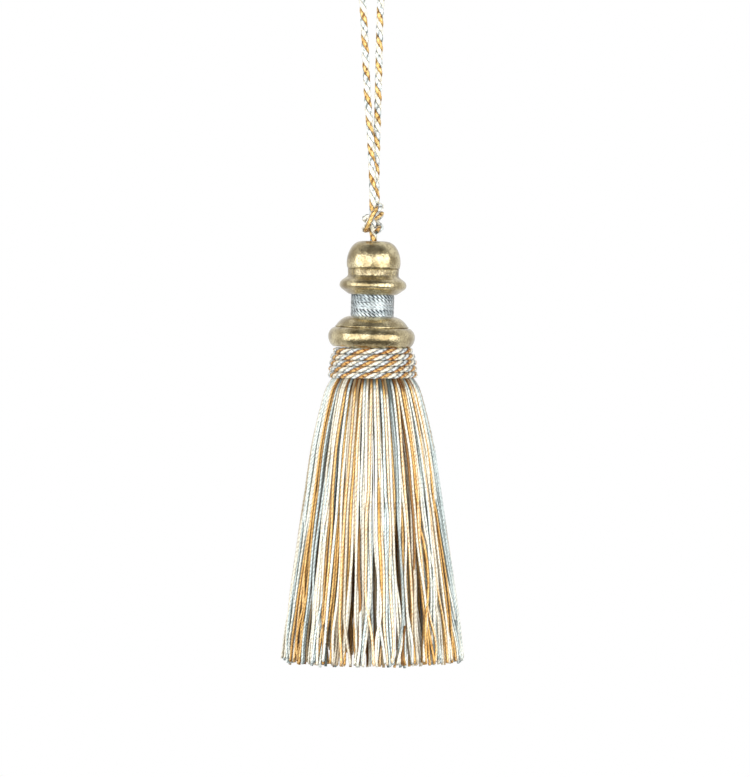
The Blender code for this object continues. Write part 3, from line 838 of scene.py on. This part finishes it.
SKIRT_SHOULDER = SKIRT_TOP - 9.7 * MM  # where the yarns first show under the collar
SKIRT_PROFILE = (  # depth below that and radius of the skirt's outside, in millimetres
    (-6.0, 12.2),
    (-1.0, 12.9),
    (0.1, 13.9),
    (1.2, 15.1),
    (2.4, 16.0),
    (5.0, 16.9),
    (7.7, 17.6),
    (14.3, 19.3),
    (20.9, 20.4),
    (40.7, 23.2),
    (60.5, 26.1),
    (80.3, 29.0),
    (95.0, 30.7),
)
# How many yarns each ring has, their distance from the axis as a share of the outside's, at the root and
# below, the share of them that takes a colour at random, and how much painted shade darkens them for
# lying behind the rings outside.
YARN_RINGS = (
    (90, 0.955, 0.98, 0.14, 0.0),
    (84, 0.88, 0.97, 0.35, 0.1),
    (76, 0.80, 0.955, 0.6, 0.22),
    (60, 0.715, 0.92, 0.9, 0.3),
    (50, 0.62, 0.84, 0.9, 0.36),
    (38, 0.5, 0.7, 0.9, 0.42),
)
COUNTS, ROOT_SHARES, LOW_SHARES, MIXED_SHARES, INNER_SHADE = (np.array(column) for column in zip(*YARN_RINGS))
# Name, rings, spacing of a yarn's points in millimetres, corners round it, and whether it has moulded plies.
SKIRT_PARTS = (
    ("outer", (0, 1), 0.6, 8, True),
    ("inner", (2, 3), 1.6, 8, False),
    ("core", (4, 5), 3.0, 6, False),
)
# The depths at which the yarns' places are worked out, in millimetres.
LEVELS = np.array([-6, -1, 0.6, 2.5, 5, 8, 12, 17, 23, 30, 37, 44, 51, 58, 65, 71, 77, 82, 86, 90, 94.5])
PACKING = ((-6, 0.8), (0, 0.85), (8, 0.95), (20, 0.99))  # depth, and how near yarns come there, in diameters
SEED = 11
SIDE_JITTER = 0.3  # of a yarn's share of its ring
RING_PHASE = 0.37  # radians from one ring's first yarn to the next ring's
WANDER_KNOTS = 6
WANDER, TIP_STRAY = 0.040, 0.038  # radians round the skirt
DEPTH_WANDER = 0.032  # of the distance from the axis
# Where each change in the yarns starts, and the depth that it takes, in millimetres.
OPENS, BUNCHES, LOOSENS, REBUNCHES, STRAYS = (0, 26.0), (0, 22.0), (6, 50.0), (40, 30.0), (62, 30.0)
UPPER_BUNCHES, LOWER_BUNCHES = (0.10, 0.30), (0.12, 0.30)  # narrowest and widest, in radians
UPPER_PULL, LOWER_PULL = 0.34, 0.36  # how far a bunch draws its yarns in
OUTER_RINGS = 2
INNER_FOLLOWS = 0.4  # how much of that pull the rings inside them take
HOLD = 0.4  # how much a yarn keeps to its place at the level above
SMOOTHED_OVER = 7.0  # millimetres
CUT_DEPTH = 92.9
CUT_SPREAD = 0.45
FRONT_TRIM = 1.3  # how much shorter the front is cut than the sides, in millimetres
FRONT_TRIM_REACH = 30.0  # how far in front of the axis that is whole
INNER_DROP = 2.0  # how much lower the yarns that hang straight down end than those that slant outwards
TIP_FLARE = ((0, 1.0), (0.5, 1.18), (2.2, 1.0))  # distance from the cut end, and how much the yarn swells
TIP_VALLEY = ((0, 0.6), (1.8, 0.88))  # the same distance, and how the valley between its plies opens
# Painted shade on each yarn's sides, where it turns into its neighbours.
SKIRT_CREVICE_SHADE = {"crevice_shade": 0.65, "crevice_shade_from": 54.0}

COLOUR_LEVEL = 15  # the level at which the colours' order is laid out
COLOUR_STRAY = 0.25  # millimetres, for the rings behind the first
MIXED_COLOURS = (0, 0, 1, 1, 2)  # what a yarn that takes its colour at random draws from
FRONT_YARNS = (  # colours across the front from left to right there, and the width of each in millimetres
    ("I", 1.2),
    ("B", 1.8),
    ("O", 1.0),
    ("I", 0.5),
    ("O", 1.7),
    ("B", 1.9),
    ("I", 3.0),
    ("O", 2.2),
    ("B", 2.6),
    ("I", 1.0),
    ("O", 1.2),
    ("I", 3.3),
    ("O", 2.0),
    ("B", 1.3),
    ("I", 1.0),
    ("O", 2.3),
    ("I", 1.5),
    ("B", 1.3),
    ("O", 1.2),
    ("I", 1.0),
    ("B", 1.0),
    ("O", 1.8),
    ("I", 1.6),
    ("B", 2.3),
    ("I", 1.0),
    ("O", 2.0),
    ("I", 2.6),
    ("O", 1.9),
    ("B", 1.5),
    ("I", 3.6),
    ("O", 0.8),
    ("I", 1.0),
    ("B", 2.4),
)
PLAIN_TINT, TINT_SPREAD, LEAST_TINT = 0.6, 0.26, 0.25  # of the yarns on their own
SHADOW = 0.95  # how much tint the collar's shadow takes off
SHADOW_TOP = 0.5  # millimetres above the shoulder
SHADOW_REACH, REACH_SPREAD = 7.0, 2.2  # millimetres down each yarn
SHADOW_SIDE = 14.0  # degrees from the front to its middle, to the right
SHADOW_FADE = 46.0  # degrees over which it fades
SHADOW_END = 1.6  # how many fades from its middle it ends
SIDE_SHADOW = 0.2  # the share of it that is left past that


def slow_noise(rng, count, knots):
    """A wander for each yarn at each level: random numbers at a few knots, which start at a random place on
    each yarn, joined by eased steps."""
    values = rng.normal(0, 1, (count, knots + 2))
    at = np.linspace(0, knots, len(LEVELS)) + rng.random((count, 1))
    low = at.astype(int)
    share = eased(at - low)
    yarn = np.arange(count)[:, None]
    return values[yarn, low] * (1 - share) + values[yarn, low + 1] * share


def settle(place, limit, least, rounds=40, step=0.7):
    """Pushes yarns apart in plan where two are nearer than the least distance, half each, and back inside
    the limit. It goes by small steps, so that a crowd spreads evenly."""
    for _ in range(rounds):
        gap = place[:, None] - place[None]
        far = np.linalg.norm(gap, axis=-1) + 1e-9
        np.fill_diagonal(far, 1e9)
        push = np.clip(least - far, 0, None)[..., None] * gap / far[..., None] * 0.5
        place = place + push.sum(1) * step
        out = np.linalg.norm(place, axis=-1, keepdims=True)
        place = place * np.minimum(1, limit / out)
    return place


def bunch_pull(rng, home, narrowest, widest):
    """How far each yarn is, in angle, from the middle of its bunch. Bunches take random widths."""
    edges = np.cumsum(rng.uniform(narrowest, widest, round(2 * TAU / (narrowest + widest))))
    edges = edges / edges[-1] * TAU
    middles = (edges + np.concatenate([[0], edges[:-1]])) / 2
    return middles[np.searchsorted(edges, home % TAU)] - home % TAU


def grown(depth, start, reach):
    """How far a change has gone at some depth: 0 at its start to 1 at the end of its reach, eased."""
    return eased((depth - start) / reach)


def hang_yarns(rng):
    """Where each yarn is in plan at each level: rings that open with the skirt, with bunches that form,
    part and form anew, which the inner rings follow less, a slow wander and tips that stray, then settled
    apart."""
    ring = np.repeat(np.arange(len(COUNTS)), COUNTS)
    number = np.concatenate([np.arange(count) for count in COUNTS])
    total = len(ring)
    home = TAU * (number + rng.uniform(-SIDE_JITTER, SIDE_JITTER, total)) / COUNTS[ring] + ring * RING_PHASE
    wander = slow_noise(rng, total, WANDER_KNOTS) * WANDER
    depth_wander = slow_noise(rng, total, WANDER_KNOTS) * DEPTH_WANDER
    stray = rng.normal(0, TIP_STRAY, total)
    follows = np.where(ring < OUTER_RINGS, 1.0, INNER_FOLLOWS)
    upper_pull = bunch_pull(rng, home, *UPPER_BUNCHES) * UPPER_PULL
    lower_pull = bunch_pull(rng, home, *LOWER_BUNCHES) * LOWER_PULL
    root, low = ROOT_SHARES[ring], LOW_SHARES[ring]
    places, place, before = [], None, 1.0
    for level, depth in enumerate(LEVELS):
        outer = np.interp(depth, *np.transpose(SKIRT_PROFILE)) - YARN_DIAMETER / MM / 2
        loose = grown(depth, *LOOSENS)
        lower = grown(depth, *REBUNCHES)
        radius = outer * (root + (low - root) * grown(depth, *OPENS)) * (1 + depth_wander[:, level] * loose)
        pull = upper_pull * grown(depth, *BUNCHES) * (1 - lower) + lower_pull * lower
        angle = home + wander[:, level] * loose + pull * follows + stray * grown(depth, *STRAYS)
        wanted = np.stack([radius * np.cos(angle), radius * np.sin(angle)], -1)
        place = wanted if place is None else place * (outer / before) * HOLD + wanted * (1 - HOLD)
        place = settle(place, outer, YARN_DIAMETER / MM * np.interp(depth, *np.transpose(PACKING)))
        before = outer
        places.append(place)
    return ring, np.stack(places, 1)


def colour_at(across):
    """Which yarn colour of the front's order lies this many millimetres across."""
    edges = np.cumsum([width for _, width in FRONT_YARNS])
    colours = np.array(["OIB".index(letter) for letter, _ in FRONT_YARNS])
    return colours[np.clip(np.searchsorted(edges - edges[-1] / 2, across), 0, len(colours) - 1)]


def choose_colours(rng, ring, here):
    """Each yarn's colour, from where it is at the colour level: the front's order, the same order on the
    back seen from behind, and some at random."""
    total = len(ring)
    radius = np.linalg.norm(here, axis=1)
    across = here[:, 0] / radius * np.interp(LEVELS[COLOUR_LEVEL], *np.transpose(SKIRT_PROFILE))
    across = across + rng.normal(0, COLOUR_STRAY, total) * (ring > 0)
    colour = np.where(here[:, 1] < 0, colour_at(across), colour_at(-across))
    mixed = rng.choice(MIXED_COLOURS, total)
    return np.where(rng.random(total) < MIXED_SHARES[ring], mixed, colour)


def fine_paths(places, cut, spacing):
    """Smooth yarn paths, and their depths: straight lines between levels, then a moving average."""
    points = round(float(np.max(cut) - LEVELS[0]) / spacing) + 1
    depth = LEVELS[0] + np.linspace(0, 1, points) * (cut[:, None] - LEVELS[0])
    level = np.clip(np.searchsorted(LEVELS, depth, side="right") - 1, 0, len(LEVELS) - 2)
    share = ((depth - LEVELS[level]) / (LEVELS[level + 1] - LEVELS[level]))[..., None]
    yarn = np.arange(len(places))[:, None]
    plan = places[yarn, level] * (1 - share) + places[yarn, level + 1] * share
    width = max(3, round(SMOOTHED_OVER / spacing) | 1)
    weights = np.hanning(width + 2)[1:-1]
    weights /= weights.sum()
    pad = width // 2
    padded = np.pad(plan, ((0, 0), (pad, pad), (0, 0)), mode="reflect", reflect_type="odd")
    windows = np.lib.stride_tricks.sliding_window_view(padded, width, axis=1)
    plan = windows @ weights
    up = SKIRT_SHOULDER - depth * MM
    return np.concatenate([plan * MM + [SKIRT_OFFSET, 0], up[..., None]], -1), depth


def yarn_tints_and_shade(rng, ring, paths, depth, plain):
    """The tint along each yarn: painted shade for the inner rings, and a painted shadow under the collar,
    most at its front.
    """
    angle = np.degrees(np.arctan2(paths[..., 0], -paths[..., 1]))
    facing = eased(SHADOW_END - np.abs(angle - SHADOW_SIDE) / SHADOW_FADE)
    reach = SHADOW_REACH + rng.normal(0, REACH_SPREAD, len(ring))[:, None]
    shadow = SHADOW * (1 - grown(depth, -SHADOW_TOP, reach)) * (SIDE_SHADOW + (1 - SIDE_SHADOW) * facing)
    # The inner rings take painted shade, for lying behind the outer ones.
    return np.clip(plain[:, None] - INNER_SHADE[ring][:, None] - shadow, 0, 1)


def make_skirt():
    """Every yarn of the skirt. The outer rings have moulded plies. The rest, behind them, are round."""
    rng = np.random.default_rng(SEED)
    ring, places = hang_yarns(rng)
    total = len(ring)
    colour = choose_colours(rng, ring, places[:, COLOUR_LEVEL])
    plain = np.clip(rng.normal(PLAIN_TINT, TINT_SPREAD, total), LEAST_TINT, 1.0)
    turn = rng.uniform(0, TAU, total)
    spread = np.sum((places[:, -1] / SKIRT_PROFILE[-1][1]) ** 2, 1)
    trim = FRONT_TRIM * np.clip(places[:, -1, 1] / FRONT_TRIM_REACH, -1, 0) + INNER_DROP * (1 - spread)
    cut = CUT_DEPTH + rng.normal(0, CUT_SPREAD, total) + trim
    pieces = []
    for index, name in enumerate(("ochre", "ivory", "pale_blue")):
        for part, rings, spacing, around, moulded in SKIRT_PARTS:
            chosen = np.isin(ring, rings) & (colour == index)
            paths, depth = fine_paths(places[chosen], cut[chosen], spacing)
            to_end = cut[chosen][:, None] - depth
            thick = YARN_DIAMETER / 2 * np.interp(to_end, *np.transpose(TIP_FLARE))
            valley = np.interp(to_end, *np.transpose(TIP_VALLEY)) if moulded else None
            side = (paths - [SKIRT_OFFSET, 0, 0]) * [1, 1, 0]
            tint = yarn_tints_and_shade(rng, ring[chosen], paths, depth, plain[chosen])
            spool = Spool()
            spool.wind(paths, side, thick, valley, around, turn=turn[chosen], tint=tint, **SKIRT_CREVICE_SHADE)
            pieces.append(spool.build(f"{part}_{name}_yarns", [SKIRT_YARNS[index]], f"{name}_yarn"))
    return pieces


for piece in make_skirt():
    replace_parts(piece, "skirt")

# ---------------------------------------- floor, light

FLOOR_DROP = 1.25
FLOOR_RADIUS = 0.7
FLOOR_CORNERS = 64
FLOOR_GREY = 0.9
LAMP_DISTANCE = 1.0
# Name, azimuth, elevation, width and height in degrees, radiance, and whether it shows as a highlight.
SOFTBOXES = (
    ("left_softbox", -43.0, 5.0, 78.0, 54.0, 2.7, True),
    ("right_softbox", 38.0, 5.0, 68.0, 54.0, 3.1, True),
    ("overhead_fill", 0.0, 62.0, 80.0, 50.0, 0.4, False),
    ("floor_fill", 0.0, -55.0, 80.0, 50.0, 0.4, False),
)
ROOM_LEVEL = 0.1
WALL_LEVEL = 1.0
WALL_WRAP, WALL_EDGE = 0.35, 0.4  # how far it comes round the sides, and how softly it starts


def add_floor():
    """A round pale floor well under the tassel."""
    angle = np.arange(FLOOR_CORNERS) / FLOOR_CORNERS * TAU
    rim = np.stack([FLOOR_RADIUS * np.cos(angle), FLOOR_RADIUS * np.sin(angle), 0 * angle - FLOOR_DROP], -1)
    mesh = bpy.data.meshes.new("floor")
    mesh.from_pydata(rim, [], [tuple(range(FLOOR_CORNERS))])
    paint, _, shader = new_finish("floor_paint", roughness=0.8)
    shader.inputs["Base Color"].default_value = (FLOOR_GREY, FLOOR_GREY, FLOOR_GREY, 1.0)
    mesh.materials.append(paint)
    add_object("floor", mesh)


def add_softbox(name, azimuth_deg, elevation_deg, wide_deg, high_deg, radiance, gloss):
    """A rectangular lamp that faces the tassel. Azimuth 0 is straight in front, and + is to the right.
    Without gloss it is a fill, too soft to show as a highlight."""
    azimuth, elevation = math.radians(azimuth_deg), math.radians(elevation_deg)
    size = [2 * LAMP_DISTANCE * math.tan(math.radians(span) / 2) for span in (wide_deg, high_deg)]
    data = bpy.data.lights.new(name, "AREA")
    data.shape = "RECTANGLE"
    data.size, data.size_y = size
    data.energy = radiance * math.pi * size[0] * size[1]
    lamp = add_object(name, data)
    lamp.location = (
        LAMP_DISTANCE * math.sin(azimuth) * math.cos(elevation),
        -LAMP_DISTANCE * math.cos(azimuth) * math.cos(elevation),
        VIEW_CENTRE[2] + LAMP_DISTANCE * math.sin(elevation),
    )
    lamp.rotation_euler = (math.pi / 2 - elevation, 0.0, azimuth)
    lamp.visible_camera = False
    lamp.visible_glossy = gloss


def light_room():
    """The room round the tassel: a white wall behind and a dim room in front. Past the tassel the camera
    sees plain white."""
    world = bpy.data.worlds.new("studio")
    bpy.context.scene.world = world
    world.use_nodes = True
    world.node_tree.nodes.clear()
    nodes = Nodes(world.node_tree)
    parts = nodes.node("ShaderNodeSeparateXYZ", {0: nodes.node("ShaderNodeTexCoord").outputs["Generated"]})
    aside = nodes.maths("ABSOLUTE", parts.outputs[0])
    behind = nodes.maths("MULTIPLY_ADD", aside, WALL_WRAP, parts.outputs[1])
    level = nodes.ramp(behind, 0.0, WALL_EDGE, ROOM_LEVEL, WALL_LEVEL)
    lit = nodes.node("ShaderNodeBackground", {"Strength": level})
    plain = nodes.node("ShaderNodeBackground", {"Color": (1.0, 1.0, 1.0, 1.0), "Strength": 1.0})
    seen = nodes.node("ShaderNodeLightPath").outputs["Is Camera Ray"]
    mixed = nodes.node("ShaderNodeMixShader", {0: seen, 1: lit.outputs[0], 2: plain.outputs[0]})
    nodes.node("ShaderNodeOutputWorld", {0: mixed.outputs[0]})


add_floor()
light_room()
for softbox in SOFTBOXES:
    add_softbox(*softbox)

bpy.context.scene.view_settings.view_transform = "Standard"
bpy.context.scene.view_settings.look = "None"
